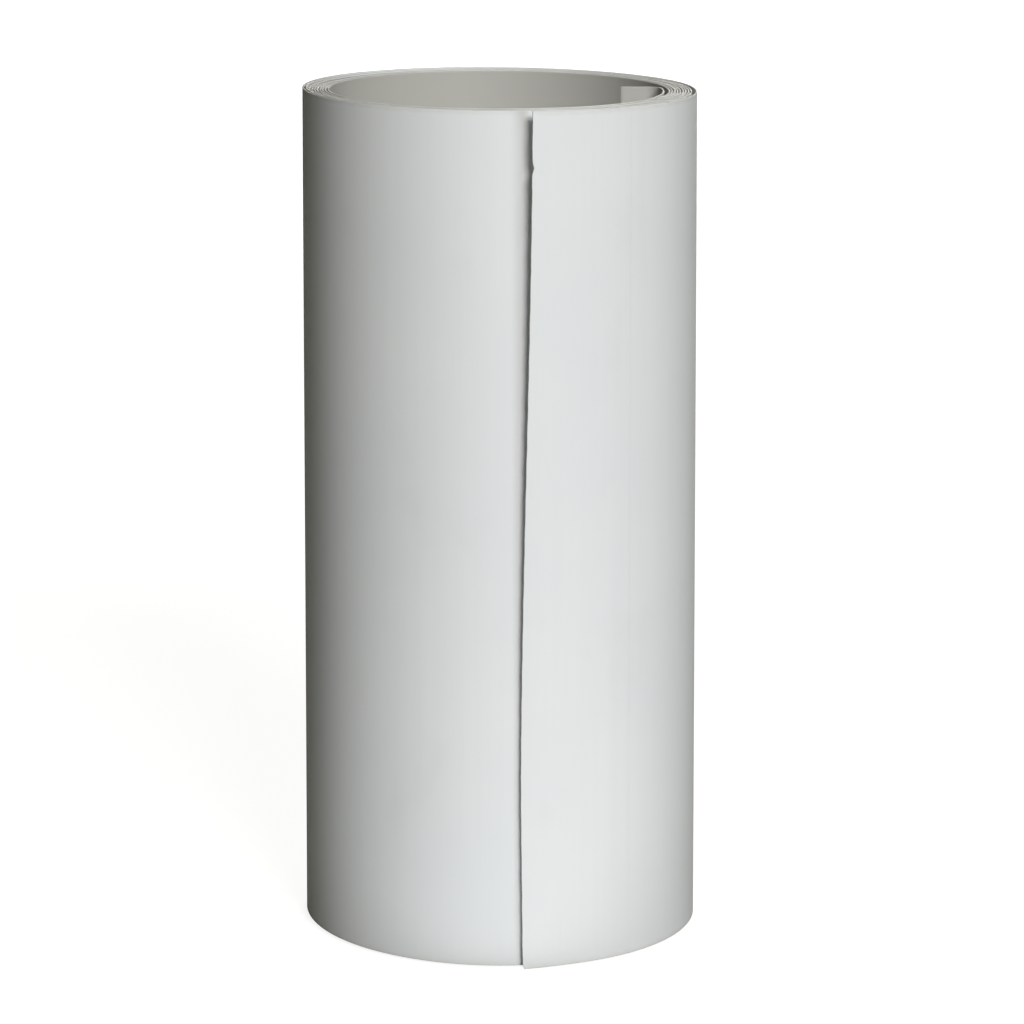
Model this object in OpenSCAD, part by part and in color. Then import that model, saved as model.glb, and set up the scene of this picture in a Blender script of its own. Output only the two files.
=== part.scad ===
// Tree guard tube: one long sheet of white plastic wound into a roll that stands on end.
// Seen from above the sheet starts at a bent tab on the right, inside the bore. It runs
// through the front, the left and the back, and grows one lap pitch wider each turn, out
// to a free edge at the front. Millimetres, +Z up, and the free edge faces -Y.
// The origin is the middle of the footprint, on the surface that the roll stands on.

/* [Sheet] */
// Width of the sheet, which is the height of the standing roll
sheet_h = 500; // [200:10:900]
// Thickness of the sheet
sheet_t = 1; // [0.6:0.1:1.2]

/* [Winding] */
// Inner radius of the wound wall
bore_r = 100; // [80:1:150]
// Number of turns, the last of which is half on the roll and half in the flap
turns = 10; // [3:1:14]
// Growth of the radius in one turn: a thickness of sheet and an air gap
lap_pitch = 1.6; // [1.5:0.1:3]

/* [Outer flap] */
// Angle from the front to the free edge, towards the right
seam_angle = 8; // [2:1:30]
// How far the flap stands off the roll at its side, beyond the air gap
flap_slack = 0.8; // [0.2:0.1:3]
// Number of bend lines, where the flap opens
flap_bends = 8; // [4:1:9]

/* [Inner end] */
// How far the loose first stretch stands off the wall at its side, beyond the air gap
inner_slack = 2; // [1:0.1:6]
// Angle from the right side back to the start of the fold
fold_angle = 8; // [0:1:30]
// Outer radius of the fold
fold_r = 9; // [4:0.5:15]
// Length of the flat tab beyond the fold
tab_l = 15; // [8:1:30]

/* [Hidden] */
$fn = 180;
// Slit between two stretches that bend outwards only, about their outer skins
bend_gap = 0.1;
// Slit in the fold, which bends both ways about the middle of the sheet
fold_gap = 0.8;

front = -90;
back = 90;
half_pitch = lap_pitch / 2;
// Half turns on the right and on the left have their centres this far from the roll's axis
centre_shift = lap_pitch / 4;
last_half = 2 * turns - 1;

// Half turn h counts from 0 at the bore. Even ones are on the left, odd ones on the right.
function half_turn_r(h) = bore_r + h * half_pitch;

// The flap is the last half turn, wound looser
flap_r = half_turn_r(last_half) + flap_slack;
flap_y = -centre_shift - flap_slack;
flap_step = (180 - seam_angle) / flap_bends;

// The inner end is the half turn before the first one, wound tighter and left loose
inner_r = half_turn_r(-1) - inner_slack;
inner_y = -centre_shift - inner_slack;
fold_centre_r = inner_r + sheet_t - fold_r;
fold_x = fold_centre_r * cos(fold_angle);
fold_y = inner_y + fold_centre_r * sin(fold_angle);
fold_mid_angle = (fold_angle + back) / 2;
fold_slit = fold_gap / 2 / (fold_r - sheet_t / 2) * 180 / PI;

// The roll's axis stands here, which centres the footprint on the origin
reach_right = flap_r + sheet_t;
reach_left = half_turn_r(last_half - 1) + sheet_t;
reach_back = reach_left + centre_shift;
reach_front = reach_right * cos(seam_angle) - flap_y;
axis_x = (reach_left - reach_right) / 2;
axis_y = (reach_front - reach_back) / 2;

function turn_name(i) = str("turn_", i < 10 ? "0" : "", i);
function flap_name(i) = str("flap_", i);

// An upright stretch of sheet bent round the point (x, y), counter-clockwise from an angle
module sheet_arc(x, y, inner, from, sweep) {
    translate([x, y, 0])
        rotate([0, 0, from])
            rotate_extrude(angle = sweep)
                translate([inner, 0])
                    square([sheet_t, sheet_h]);
}

// Half turn h of the tight winding
module half_turn(h) {
    if (h % 2 == 0)
        sheet_arc(0, centre_shift, half_turn_r(h), back, 180);
    else
        sheet_arc(0, -centre_shift, half_turn_r(h), front, 180);
}

// Turn i of the roll. The last one has only its left half, where the flap begins.
module turn(i) {
    color("whitesmoke") {
        half_turn(2 * i - 2);
        if (i < turns)
            half_turn(2 * i - 1);
    }
}

// Stretch i of the outer flap, counted from the back of the roll to the free edge
module flap(i) {
    slit = bend_gap / (flap_r + sheet_t) * 180 / PI;
    color("white")
        sheet_arc(0, flap_y, flap_r, back - i * flap_step, flap_step - slit);
}

// The loose first stretch of the sheet, from the front to the middle of the fold
module inner_end() {
    slit = bend_gap / inner_r * 180 / PI;
    color("gainsboro") {
        sheet_arc(0, inner_y, inner_r, front + slit, fold_angle - front - slit);
        sheet_arc(fold_x, fold_y, fold_r - sheet_t, fold_angle,
            fold_mid_angle - fold_angle - fold_slit);
    }
}

// The rest of the fold and the flat tab, which points across the bore
module inner_tab() {
    color("lightgray") {
        sheet_arc(fold_x, fold_y, fold_r - sheet_t, fold_mid_angle + fold_slit,
            back - fold_mid_angle - fold_slit);
        translate([fold_x - tab_l, fold_y + fold_r - sheet_t, 0])
            cube([tab_l, sheet_t, sheet_h]);
    }
}

translate([axis_x, axis_y, 0]) {
    for (i = [1:turns])
        turn(i);
    for (i = [1:flap_bends])
        flap(i);
    inner_end();
    inner_tab();
}
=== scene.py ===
"""A tree guard tube: one long sheet of white plastic wound into a roll that stands on end.

The sheet is followed by its winding angle, in degrees. It is 0 at the front of the bore and
grows through the left, the back and the right. Below 0 is the loose inner end of the sheet.
"""

import math

import bmesh
import bpy
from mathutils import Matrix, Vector
import numpy as np


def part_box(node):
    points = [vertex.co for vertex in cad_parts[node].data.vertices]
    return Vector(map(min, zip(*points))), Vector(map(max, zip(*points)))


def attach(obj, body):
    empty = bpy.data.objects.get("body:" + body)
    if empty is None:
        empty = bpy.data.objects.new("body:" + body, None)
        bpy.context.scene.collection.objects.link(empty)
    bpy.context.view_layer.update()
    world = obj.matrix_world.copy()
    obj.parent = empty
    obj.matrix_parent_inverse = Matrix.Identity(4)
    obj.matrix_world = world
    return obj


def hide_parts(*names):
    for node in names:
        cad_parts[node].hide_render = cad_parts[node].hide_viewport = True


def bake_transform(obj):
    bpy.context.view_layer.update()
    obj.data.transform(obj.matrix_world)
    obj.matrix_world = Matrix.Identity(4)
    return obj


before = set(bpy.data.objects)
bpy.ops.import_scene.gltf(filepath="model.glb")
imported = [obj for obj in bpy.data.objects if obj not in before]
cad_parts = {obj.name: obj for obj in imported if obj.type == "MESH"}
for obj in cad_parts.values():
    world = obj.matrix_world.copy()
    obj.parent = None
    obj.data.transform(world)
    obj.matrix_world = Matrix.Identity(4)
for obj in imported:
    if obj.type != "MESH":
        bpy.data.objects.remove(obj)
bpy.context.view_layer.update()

MM = 0.001

# ------------------------------------------------------------ sizes that the CAD gives

SHEET_T = 1.0 * MM
FLAP_SLACK = 0.8 * MM  # stand-off of the outer flap at its side
INNER_SLACK = 2.0 * MM  # stand-off of the inner end at its side
SEAM_ANGLE = 8.0  # from the front to the free edge of the CAD flap
FOLD_ANGLE = 8.0  # from the right side back to the fold at the inner end
FOLD_R = 9.0 * MM  # outer radius of that fold

TURNS = sum(name.startswith("turn_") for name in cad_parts)
FLAP_BENDS = sum(name.startswith("flap_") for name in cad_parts)
FIRST_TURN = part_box("turn_01")
SECOND_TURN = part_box("turn_02")
LAST_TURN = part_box(f"turn_{TURNS:02d}")

SHEET_H = LAST_TURN[1].z
AXIS_X = LAST_TURN[1].x
LAP_PITCH = FIRST_TURN[0].x - SECOND_TURN[0].x
BORE_R = AXIS_X - FIRST_TURN[0].x - SHEET_T
CENTRE_SHIFT = LAP_PITCH / 4
AXIS_Y = LAST_TURN[1].y - CENTRE_SHIFT - BORE_R - (TURNS - 1) * LAP_PITCH - SHEET_T

ROLL_END = 180.0 * (2 * TURNS - 1)  # winding angle where the flap leaves the roll
FLAP_STEP = (180.0 - SEAM_ANGLE) / FLAP_BENDS
FLAP_R = BORE_R + (2 * TURNS - 1) * LAP_PITCH / 2 + FLAP_SLACK
FLAP_Y = -CENTRE_SHIFT - FLAP_SLACK
OUTER_R = FLAP_R + SHEET_T

INNER_R = BORE_R - LAP_PITCH / 2 - INNER_SLACK
INNER_Y = -CENTRE_SHIFT - INNER_SLACK
FOLD_START = -90.0 - FOLD_ANGLE
FOLD_END = FOLD_START - (90.0 - FOLD_ANGLE)
FOLD_CENTRE_R = INNER_R + SHEET_T - FOLD_R
FOLD_X = FOLD_CENTRE_R * math.cos(math.radians(FOLD_ANGLE))
FOLD_Y = INNER_Y + FOLD_CENTRE_R * math.sin(math.radians(FOLD_ANGLE))
TAB_L = AXIS_X + FOLD_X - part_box("inner_tab")[0].x
TAB_END = FOLD_END - TAB_L / MM  # past the fold, one degree stands for 1 mm of tab

# ------------------------------------------------------------ how a real roll departs from that

FLARE_FOOT = 1.7 * MM  # the roll is this much looser at its foot
FLARE_TOP = -1.1 * MM  # and tighter at its top
OVAL = 0.25 * MM
LAP_RIPPLE = 0.1 * MM  # makes the gaps between the laps unequal
DENT = 1.6 * MM  # the laps lie flatter under the seam
DENT_AT = -80.0
DENT_WIDTH = 15.0
SIDE_GAP = 0.6 * MM  # the flap is looser at the top of its side

FREE_EDGE = ROLL_END + 173.0
LIFT_SWEEP = 42.0  # the stretch of the flap that springs away from the roll
LIFT_TOP = 5.9 * MM
LIFT_FOOT = 0.5 * MM

SKEW = 1.25 * MM  # the outer laps climb this far at the left and sink as far at the right
TELESCOPE = 0.15 * MM  # one lap's edge against the next
DROOP = 1.4 * MM  # the free end reaches lower at its foot
RISE = 1.1 * MM  # and a little higher at its top
DROOP_SWEEP = 20.0

NICK_Z = 0.9350  # share of the height at which the free edge has a small tear
NICK_HALF = 0.0075
EDGE_AT_FOOT = 6.5  # degrees from the front to the free edge
EDGE_LEAN = 2.8  # and this much further at its top
BEVEL = 0.14  # share of half the thickness that the cut edges lose

SEAM_SHADOW_WIDTH = 1.4  # degrees over which the painted shadow beside the free edge fades, at its foot
SEAM_SHADOW_SPREAD = 4.2  # and this much more at its top
FIRST_LAP = 380.0  # up to here the side that faces the bore is painted greyer, as shade inside the bore

EDGE_LOOP = 0.1  # degrees between a piece's end and its next ring, which keeps the shading even
GRADING = (0.22, 0.42, 0.70)  # rings between that one and the first full step, as shares of it


def smooth(x):
    x = np.clip(x, 0.0, 1.0)
    return x * x * (3 - 2 * x)


def free_edge(share):
    """Winding angle of the free edge at a share of the height: cut by hand, with a small tear."""
    from_front = EDGE_AT_FOOT + EDGE_LEAN * smooth((share - 0.2) / 0.8) + 2.5 * np.clip(0.2 - share, 0, 1)
    above = np.clip((share - NICK_Z) / NICK_HALF, 0, 1)
    below = np.clip((NICK_Z - share) / (0.6 * NICK_HALF), 0, 1)
    nick = 0.6 * (1 - above) * (1 - below)
    corner = 0.5 * np.clip(1 - share / 0.006, 0, 1) ** 2
    jagged = 0.035 * np.sin(share * 155.0) + 0.025 * np.sin(share * 560.0 + 1.0)
    return ROLL_END + 180.0 - from_front - nick - corner - jagged


def true_spiral(a):
    """Centre, inner radius and direction of the CAD's sheet at a winding angle."""
    half = np.clip(np.floor(a / 180.0), 0, 2 * TURNS - 2)
    stretches = [a < FOLD_START, a < 0, a >= ROLL_END]
    left_side = np.where(half % 2 == 0, 1.0, -1.0)
    radius = np.select(stretches, [FOLD_R - SHEET_T, INNER_R, FLAP_R], BORE_R + half * LAP_PITCH / 2)
    y = np.select(stretches, [FOLD_Y, INNER_Y, FLAP_Y], left_side * CENTRE_SHIFT)
    x = np.where(a < FOLD_START, FOLD_X, 0.0) - np.clip(FOLD_END - a, 0, None) * MM
    fold = np.clip(FOLD_START - a, 0, FOLD_START - FOLD_END)
    theta = np.radians(np.where(a < FOLD_START, FOLD_ANGLE + fold, -90.0 - a))
    return x, y, radius, theta


def lifted(a, share):
    """How far the flap stands off beyond the CAD's flap."""
    near_edge = np.clip(1 - (FREE_EDGE - a) / LIFT_SWEEP, 0, None) ** 1.7
    grows = np.clip((share - 0.27) / 0.65, 0, None) ** 1.1
    loose_side = SIDE_GAP * share * smooth((a - ROLL_END) / 120.0)
    return (LIFT_FOOT + (LIFT_TOP - LIFT_FOOT) * grows) * near_edge + loose_side


def plan(a, share):
    """The middle of the sheet's thickness, seen from above."""
    x, y, radius, theta = true_spiral(a)
    ripple = LAP_RIPPLE * np.sin(np.radians(a) * 0.61 + 4 * share) * smooth(a / 90.0)
    ripple = ripple * smooth((ROLL_END + 60.0 - a) / 60.0)
    radius = radius + SHEET_T / 2 + lifted(a, share) + ripple
    x = x + radius * np.cos(theta)
    y = y + radius * np.sin(theta)
    around = np.arctan2(y, x)
    from_dent = np.degrees(np.arctan2(np.sin(around - math.radians(DENT_AT)),
                                      np.cos(around - math.radians(DENT_AT))))
    under_flap = 1 - smooth((a - ROLL_END - 60.0) / 60.0)
    shared = FLARE_FOOT + (FLARE_TOP - FLARE_FOOT) * share + OVAL * np.cos(2 * around + 0.6)
    shared = shared - DENT * (0.4 + 0.6 * share) * np.exp(-(from_dent / DENT_WIDTH) ** 2) * under_flap
    return AXIS_X + x + shared * np.cos(around), AXIS_Y + y + shared * np.sin(around)


def height(a, x, share):
    """The height of a point at a share of the sheet's height. The lower edge never leaves the floor."""
    outer = 0.42 + 0.58 * smooth((a - 2300.0) / 700.0)
    skew = SKEW * (1 - (x - AXIS_X) / OUTER_R) * outer
    step = TELESCOPE * (1 + np.sin(np.radians(a) * 0.73 + 1.0))
    last = np.clip(1 - (FREE_EDGE - a) / DROOP_SWEEP, 0, 1) ** 2
    low = np.maximum(skew + step - DROOP * last, 0.0)
    high = SHEET_H + skew + step + RISE * last
    return low + (high - low) * share


def seam_shadow_amount(a, share):
    """How much painted shadow darkens the lap beside and beneath the free edge, from 0 to 1. It stands in
    for the shade that the lifted flap casts.
    """
    past_edge = a - (free_edge(share) - 360.0)
    width = SEAM_SHADOW_WIDTH + SEAM_SHADOW_SPREAD * np.clip((share - 0.3) / 0.65, 0, 1)
    return (1 - smooth((past_edge - 0.8) / width)) * smooth((past_edge + 0.5) / 3.0)


def unrolled(a):
    """Length along the sheet from the front of the bore, in metres."""
    rad = np.radians(a)
    wound = rad * (BORE_R + LAP_PITCH * a / 720.0)
    inner = INNER_R * np.radians(np.maximum(a, FOLD_START))
    fold = FOLD_R * np.radians(np.clip(a, FOLD_END, FOLD_START) - FOLD_START)
    tab = np.minimum(a - FOLD_END, 0.0) * MM
    return np.where(a >= 0, wound, inner + fold + tab)


def surface(a, share, offset):
    """Points on the sheet, at an offset outwards from its middle."""
    x, y = plan(a, share)
    x_on, y_on = plan(a + 0.05, share)
    x_back, y_back = plan(a - 0.05, share)
    length = np.hypot(x_on - x_back, y_on - y_back)
    tx, ty = (x_on - x_back) / length, (y_on - y_back) / length
    return np.stack([x - ty * offset, y + tx * offset, height(a, x, share)], -1)


# ------------------------------------------------------------ pieces

ROLL_ROWS, FLAP_ROWS, EDGE_ROWS, INNER_ROWS = 16, 25, 250, 20
ROLL_STEP, SEAM_STEP, BEND_STEP = 2.0, 0.5, 1.0  # degrees from ring to ring
SEAM_SWEEP = 20.0  # the stretch beneath the free edge that has close rings
ROLL_START = 10.0  # here the inner lap meets the roll
INNER_MEETS_FOLD = -60.0
OVERHANG = 8.0  # degrees by which the first flap length reaches back onto the roll
FOLD_RINGS, TAB_RINGS = 28, 9


def row_shares(rows):
    """Shares of the height, with close rows at both cut edges."""
    near = BEVEL * SHEET_T / 2 / SHEET_H
    inner = np.linspace(0, 1, rows + 1)[1:-1]
    return np.concatenate([[near, 10 * near], inner, [1 - 10 * near, 1 - near]])


def ring_angles(start, end, step):
    """Winding angles from start to end, with rings that close up towards both ends."""
    count = max(2, round((end - start) / step))
    even = np.linspace(start, end, count + 1)
    near = np.concatenate([[0, EDGE_LOOP], np.array(GRADING) * (even[1] - start)])
    return np.concatenate([start + near, even[1:-1], end - near[::-1]])


def sheet_piece(name, angles, rows, cut_start=False, cut_end=False, to_free_edge=False):
    """One closed length of sheet, a ring of points around its section at each winding angle."""
    shares = row_shares(rows)
    n = len(shares)
    share = np.concatenate([shares, [1, 1], shares[::-1], [0, 0]])
    slim = 1 - BEVEL
    side = np.concatenate([np.ones(n), [slim, -slim], -np.ones(n), [-slim, slim]])

    rings, around = len(angles), len(share)
    a = np.repeat(np.asarray(angles, float)[:, None], around, 1)
    if to_free_edge:
        part = (a - a[0, 0]) / (a[-1, 0] - a[0, 0])
        a = a[0, 0] + part * (free_edge(share) - a[0, 0])
        a[-2] = a[-1] - math.degrees(BEVEL * SHEET_T / 2 / OUTER_R)
    thin = np.ones((rings, 1))
    if cut_start:
        a[1] = a[0] + BEVEL / 2
        thin[0] = slim
    if cut_end:
        thin[-1] = slim
    grid = np.repeat(share[None, :], rings, 0)
    points = surface(a, grid, side[None, :] * thin * SHEET_T / 2).reshape(-1, 3)

    index = np.arange(rings * around).reshape(rings, around)
    turned = np.roll(index, -1, 1)
    walls = np.stack([index[:-1], turned[:-1], turned[1:], index[1:]], -1).reshape(-1, 4)
    outer = np.concatenate([[2 * n + 3], np.arange(n + 1)])
    inner = np.concatenate([[2 * n + 2], np.arange(2 * n + 1, n, -1)])
    ladder = np.stack([outer[:-1], inner[:-1], inner[1:], outer[1:]], -1)
    faces = np.concatenate([walls, ladder, ladder[:, ::-1] + (rings - 1) * around])

    mesh = bpy.data.meshes.new(name)
    mesh.from_pydata(points.tolist(), [], faces.tolist())
    flat = np.arange(len(faces)) >= len(walls)
    mesh.polygons.foreach_set("use_smooth", ~flat)
    corners = np.zeros(len(mesh.loops), int)
    mesh.loops.foreach_get("vertex_index", corners)
    along = np.stack([unrolled(a), grid * SHEET_H], -1).reshape(-1, 2)
    mesh.uv_layers.new(name="flat_sheet").data.foreach_set("uv", along[corners].ravel())
    inward = np.repeat(side[None, :] < 0, rings, 0)
    # painted shade inside the bore, on the bore side of the first lap
    bore_shade = inward * (a < FIRST_LAP)
    # painted shade on the cut edges at the top and the foot
    cut = np.repeat((share == 0) | (share == 1), rings, 0).reshape(around, rings).T
    # painted shadow beside and beneath the free edge, on the outer side of the sheet
    seam_shadow = seam_shadow_amount(a, grid) * ~inward
    for mark, amount in (("bore_shade", bore_shade), ("cut_edge_shade", cut), ("seam_shadow", seam_shadow)):
        values = amount.astype(float).ravel()
        mesh.attributes.new(mark, "FLOAT", "POINT").data.foreach_set("value", values)

    form = bmesh.new()
    form.from_mesh(mesh)
    bmesh.ops.recalc_face_normals(form, faces=form.faces)
    form.to_mesh(mesh)
    form.free()
    piece = bpy.data.objects.new(name, mesh)
    bpy.context.scene.collection.objects.link(piece)
    mesh.materials.append(PLASTIC)
    return piece


def make_roll():
    seam = ROLL_END - 180.0
    angles = np.concatenate([
        ring_angles(ROLL_START, seam - SEAM_SWEEP, ROLL_STEP),
        ring_angles(seam - SEAM_SWEEP, seam, SEAM_STEP)[1:],
        ring_angles(seam, ROLL_END - OVERHANG, ROLL_STEP)[1:],
    ])
    roll = sheet_piece("roll_sheet", angles, ROLL_ROWS)
    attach(roll, "roll")
    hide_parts(*(f"turn_{i:02d}" for i in range(1, TURNS + 1)))


def make_flap():
    """Eight lengths of the outer half turn, one around each hinge line of the CAD's flap."""
    for i in range(1, FLAP_BENDS + 1):
        hinge = ROLL_END + FLAP_STEP * (i - 1)
        first, last = i == 1, i == FLAP_BENDS
        start = hinge - (OVERHANG if first else FLAP_STEP / 2)
        end = FREE_EDGE if last else hinge + FLAP_STEP / 2
        piece = sheet_piece(
            f"flap_sheet_{i}", ring_angles(start, end, BEND_STEP), EDGE_ROWS if last else FLAP_ROWS,
            cut_end=last, to_free_edge=last,
        )
        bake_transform(piece)
        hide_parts(f"flap_{i}")


def make_inner_end():
    """The loose inner end, and the folded tab that closes it."""
    lap = sheet_piece("inner_lap", ring_angles(INNER_MEETS_FOLD, ROLL_START, BEND_STEP), INNER_ROWS)
    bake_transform(lap)
    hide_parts("inner_end")

    before = ring_angles(FOLD_START, INNER_MEETS_FOLD, BEND_STEP)
    fold = np.linspace(FOLD_END, FOLD_START, FOLD_RINGS)[1:-1]
    tab = np.linspace(TAB_END, FOLD_END, TAB_RINGS)
    angles = np.concatenate([[TAB_END], tab, fold, before])
    fold_piece = sheet_piece("inner_fold", angles, INNER_ROWS, cut_start=True)
    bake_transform(fold_piece)
    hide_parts("inner_tab")


# ------------------------------------------------------------ materials

WHITE, PALE = (0.800, 0.815, 0.822, 1), (0.826, 0.836, 0.836, 1)
ROLLING_MARK = (0.77, 0.785, 0.79, 1)
SMUDGE = (0.62, 0.61, 0.58, 1)
SCRATCH = (0.66, 0.66, 0.65, 1)
WORN = (0.66, 0.65, 0.61, 1)
# painted shade: the greyer colour on the bore side of the first lap stands in for the shade inside the
# bore
BORE_SHADE = (0.48, 0.465, 0.42, 1)
# painted shadow: this darker colour beside the free edge stands in for the shade under the lifted flap
SEAM_SHADOW_COLOUR = (0.50, 0.475, 0.445, 1)
# painted shade: this dark colour on the sheet's cut edges stands in for the shade in the gaps between the
# laps at the rim and along the foot
CUT_EDGE_SHADE = (0.36, 0.355, 0.30, 1)
BOARD = (0.30, 0.30, 0.27, 1)


class Nodes:
    """A short way to add nodes to a material and link them."""

    def __init__(self, name):
        self.material = bpy.data.materials.new(name)
        self.material.use_nodes = True
        self.tree = self.material.node_tree
        self.shader = self.tree.nodes["Principled BSDF"]

    def link(self, value, socket):
        if isinstance(value, bpy.types.NodeSocket):
            self.tree.links.new(value, socket)
        else:
            socket.default_value = value

    def add(self, kind, *values, output=0, **settings):
        node = self.tree.nodes.new(kind)
        for key, value in settings.items():
            setattr(node, key, value)
        for socket, value in zip(node.inputs, values):
            if value is not None:
                self.link(value, socket)
        return node.outputs[output]

    def math(self, operation, *values, clamp=False):
        return self.add("ShaderNodeMath", *values, operation=operation, use_clamp=clamp)

    def noise(self, vector, scale, stretch=(1, 1, 1), detail=2.0):
        """Noise from 0 to 1 over the unrolled sheet."""
        place = self.add("ShaderNodeMapping", vector, None, None, stretch)
        node = self.tree.nodes.new("ShaderNodeTexNoise")
        self.tree.links.new(place, node.inputs["Vector"])
        node.inputs["Scale"].default_value = scale
        node.inputs["Detail"].default_value = detail
        return node.outputs["Fac"]

    def ramp(self, value, low, high, to_low=0.0, to_high=1.0):
        return self.add("ShaderNodeMapRange", value, low, high, to_low, to_high)

    def mix(self, factor, a, b):
        node = self.tree.nodes.new("ShaderNodeMix")
        node.data_type = "RGBA"
        self.link(factor, node.inputs["Factor"])
        self.link(a, node.inputs["A"])
        self.link(b, node.inputs["B"])
        return node.outputs["Result"]


def plastic():
    """Satin white plastic with a fine grain, rolling marks, smudges, scratches and worn edges, and
    painted shade in the bore, on the cut edges and beside the free edge.
    """
    n = Nodes("white_plastic_sheet")
    place = n.add("ShaderNodeUVMap", uv_map="flat_sheet")
    upward = n.add("ShaderNodeSeparateXYZ", place, output=1)

    broad = n.noise(place, 9.0, detail=3.0)
    grain = n.noise(place, 1500.0, detail=3.0)
    marks = n.noise(place, 1.0, (160.0, 2.5, 1.0), detail=4.0)
    bows = n.noise(place, 1.0, (14.0, 2.0, 1.0), detail=1.0)
    smudge = n.ramp(n.noise(place, 22.0, (1.0, 0.6, 1.0), detail=5.0), 0.60, 0.78)
    scratch = n.ramp(n.noise(place, 1.0, (900.0, 26.0, 1.0), detail=1.0), 0.70, 0.80)

    from_edge = n.math("MINIMUM", upward, n.math("SUBTRACT", SHEET_H, upward))
    wavy = n.math("MULTIPLY_ADD", n.noise(place, 120.0, detail=3.0), -0.003, from_edge)
    worn = n.ramp(wavy, 0.0015, -0.001)

    white = n.mix(n.ramp(broad, 0.35, 0.65), WHITE, PALE)
    white = n.mix(n.ramp(marks, 0.40, 0.75, 0.0, 0.35), white, ROLLING_MARK)
    white = n.mix(n.math("MULTIPLY", smudge, 0.16), white, SMUDGE)
    white = n.mix(n.math("MULTIPLY", scratch, 0.12), white, SCRATCH)
    white = n.mix(n.math("MULTIPLY", worn, 0.35), white, WORN)
    # painted shade inside the bore
    inward = n.add("ShaderNodeAttribute", attribute_name="bore_shade", output=2)
    colour = n.mix(n.math("MULTIPLY", inward, 0.9), white, BORE_SHADE)
    # painted shadow beside the free edge
    seam_shadow = n.add("ShaderNodeAttribute", attribute_name="seam_shadow", output=2)
    colour = n.mix(n.math("MULTIPLY", seam_shadow, 0.62), colour, SEAM_SHADOW_COLOUR)
    # painted shade on the cut edges
    cut = n.add("ShaderNodeAttribute", attribute_name="cut_edge_shade", output=2)
    colour = n.mix(n.math("MULTIPLY", cut, 0.9), colour, CUT_EDGE_SHADE)

    rough = n.ramp(marks, 0.3, 0.7, 0.40, 0.50)
    rough = n.math("MULTIPLY_ADD", smudge, 0.12, rough)
    rough = n.math("MULTIPLY_ADD", worn, 0.20, rough)

    fine = n.add("ShaderNodeBump", 0.35, 0.02 * MM)
    n.link(grain, fine.node.inputs["Height"])
    normal = n.add("ShaderNodeBump", 0.30, 0.4 * MM)
    n.link(n.math("MULTIPLY_ADD", marks, 0.12, bows), normal.node.inputs["Height"])
    n.link(fine, normal.node.inputs["Normal"])

    shader = n.shader.inputs
    n.link(colour, shader["Base Color"])
    n.link(rough, shader["Roughness"])
    n.link(normal, shader["Normal"])
    shader["IOR"].default_value = 1.49
    shader["Specular IOR Level"].default_value = 0.4
    return n.material


def floor_material():
    """Matt board. Only camera rays see its glow, so it looks white but lights the roll little."""
    n = Nodes("studio_floor")
    n.shader.inputs["Base Color"].default_value = BOARD
    n.shader.inputs["Roughness"].default_value = 0.9
    n.shader.inputs["Specular IOR Level"].default_value = 0.1
    n.shader.inputs["Emission Color"].default_value = (1, 1, 1, 1)
    seen = n.add("ShaderNodeLightPath", output=0)
    n.link(n.math("MULTIPLY", seen, 0.88), n.shader.inputs["Emission Strength"])
    return n.material


# ------------------------------------------------------------ studio

FLOOR_SIZE = 60.0
LIGHT_DISTANCE = 9.0
LIGHT_SIZE = 3.6
KEY_AZIMUTH, KEY_ELEVATION = 20.0, 27.0
KEY_POWER = 700.0
KEY_COLOUR = (0.985, 0.995, 1.0)
FILL_AZIMUTH, FILL_ELEVATION = 172.0, 10.0  # behind the roll
FILL_POWER = 520.0
FILL_COLOUR = (1.0, 0.98, 0.95)
GLOW_POWER = 0.4  # light that the floor throws up onto the front
GLOW_SIZE = (0.7, 0.5)
GLOW_AT = (0.14, -OUTER_R - 0.26, 0.003)
GLOW_COLOUR = (0.95, 0.98, 1.0)
AMBIENT = 0.027
AMBIENT_COLOUR = (1.0, 0.94, 0.58, 1)

LENS = 142.4
CAMERA_AT = (7.4 * MM, -2370.5 * MM, 765.85 * MM)
CAMERA_DOWN = 12.34  # degrees below level


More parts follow.
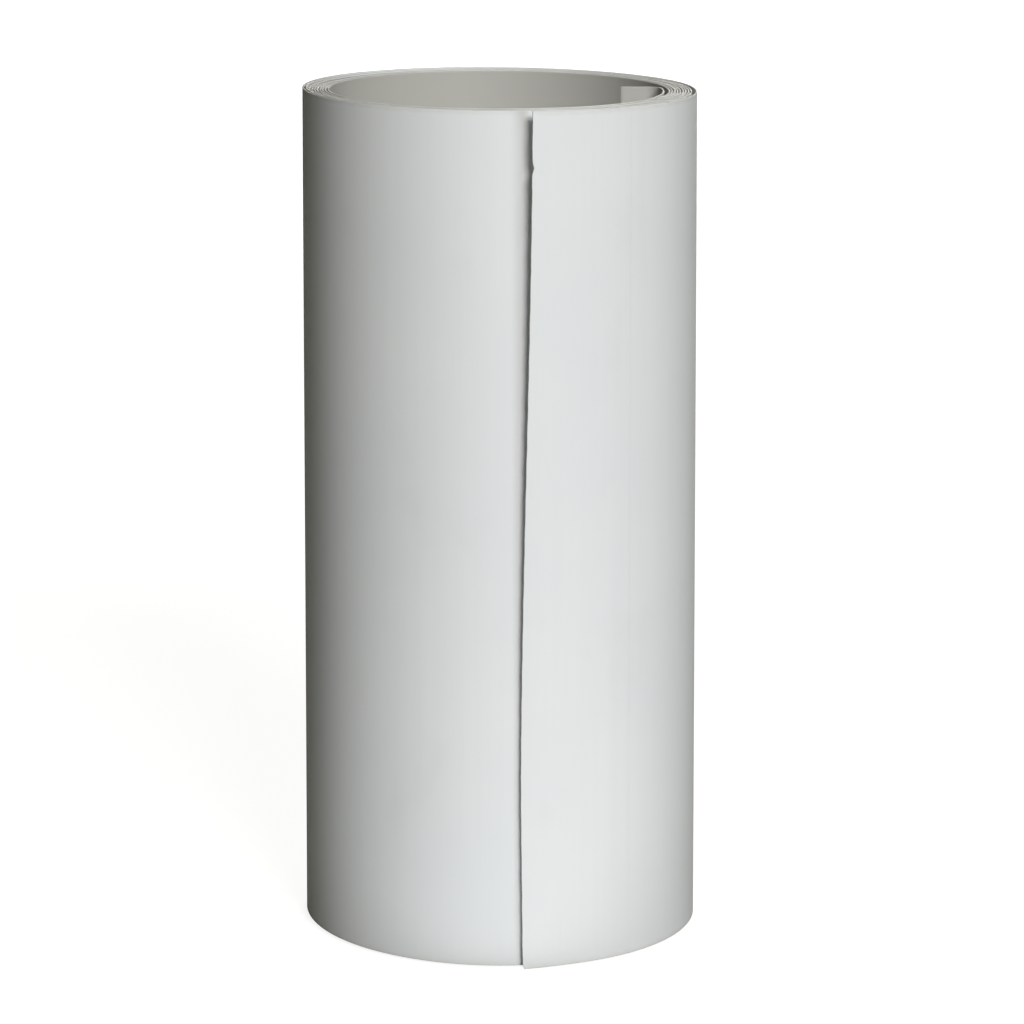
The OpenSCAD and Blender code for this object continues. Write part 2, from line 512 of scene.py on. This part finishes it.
def soft_light(name, azimuth, elevation, power, colour):
    """A round lamp that faces the roll. Azimuth 0 is the front and 90 the right side."""
    azimuth, elevation = math.radians(azimuth), math.radians(elevation)
    towards = Vector((
        math.sin(azimuth) * math.cos(elevation),
        -math.cos(azimuth) * math.cos(elevation),
        math.sin(elevation),
    ))
    light = bpy.data.lights.new(name, "AREA")
    light.shape = "DISK"
    light.size = LIGHT_SIZE
    light.energy = power
    light.color = colour
    lamp = bpy.data.objects.new(name, light)
    lamp.location = Vector((0, 0, SHEET_H / 2)) + towards * LIGHT_DISTANCE
    lamp.rotation_euler = towards.to_track_quat("Z", "Y").to_euler()
    lamp.visible_camera = False
    bpy.context.scene.collection.objects.link(lamp)


def make_studio():
    bpy.ops.mesh.primitive_plane_add(size=FLOOR_SIZE)
    floor = bpy.context.object
    floor.name = "studio_floor"
    floor.data.materials.append(floor_material())
    soft_light("key", KEY_AZIMUTH, KEY_ELEVATION, KEY_POWER, KEY_COLOUR)
    soft_light("fill", FILL_AZIMUTH, FILL_ELEVATION, FILL_POWER, FILL_COLOUR)

    glow = bpy.data.lights.new("floor_glow", "AREA")
    glow.shape = "RECTANGLE"
    glow.size, glow.size_y = GLOW_SIZE
    glow.energy = GLOW_POWER
    glow.color = GLOW_COLOUR
    patch = bpy.data.objects.new("floor_glow", glow)
    patch.location = GLOW_AT
    patch.rotation_euler = (math.pi, 0, 0)
    patch.visible_camera = False
    bpy.context.scene.collection.objects.link(patch)

    world = bpy.data.worlds.new("studio")
    bpy.context.scene.world = world
    world.use_nodes = True
    tree = world.node_tree
    back = tree.nodes["Background"]
    back.inputs["Color"].default_value = AMBIENT_COLOUR
    path = tree.nodes.new("ShaderNodeLightPath")
    level = tree.nodes.new("ShaderNodeMapRange")
    tree.links.new(path.outputs["Is Camera Ray"], level.inputs["Value"])
    level.inputs["To Min"].default_value = AMBIENT
    level.inputs["To Max"].default_value = 1.0
    tree.links.new(level.outputs["Result"], back.inputs["Strength"])
    bpy.context.scene.view_settings.view_transform = "Standard"


def make_camera():
    """Stands a little above the roll's top edge, at the distance that its perspective shows."""
    data = bpy.data.cameras.new("camera")
    data.sensor_width = 36.0
    data.lens = LENS
    data.clip_end = 100.0
    camera = bpy.data.objects.new("camera", data)
    camera.location = CAMERA_AT
    camera.rotation_euler = (math.radians(90.0 - CAMERA_DOWN), 0.0, 0.0)
    bpy.context.scene.collection.objects.link(camera)
    bpy.context.scene.camera = camera


PLASTIC = plastic()
make_camera()
make_studio()
make_roll()
make_flap()
make_inner_end()
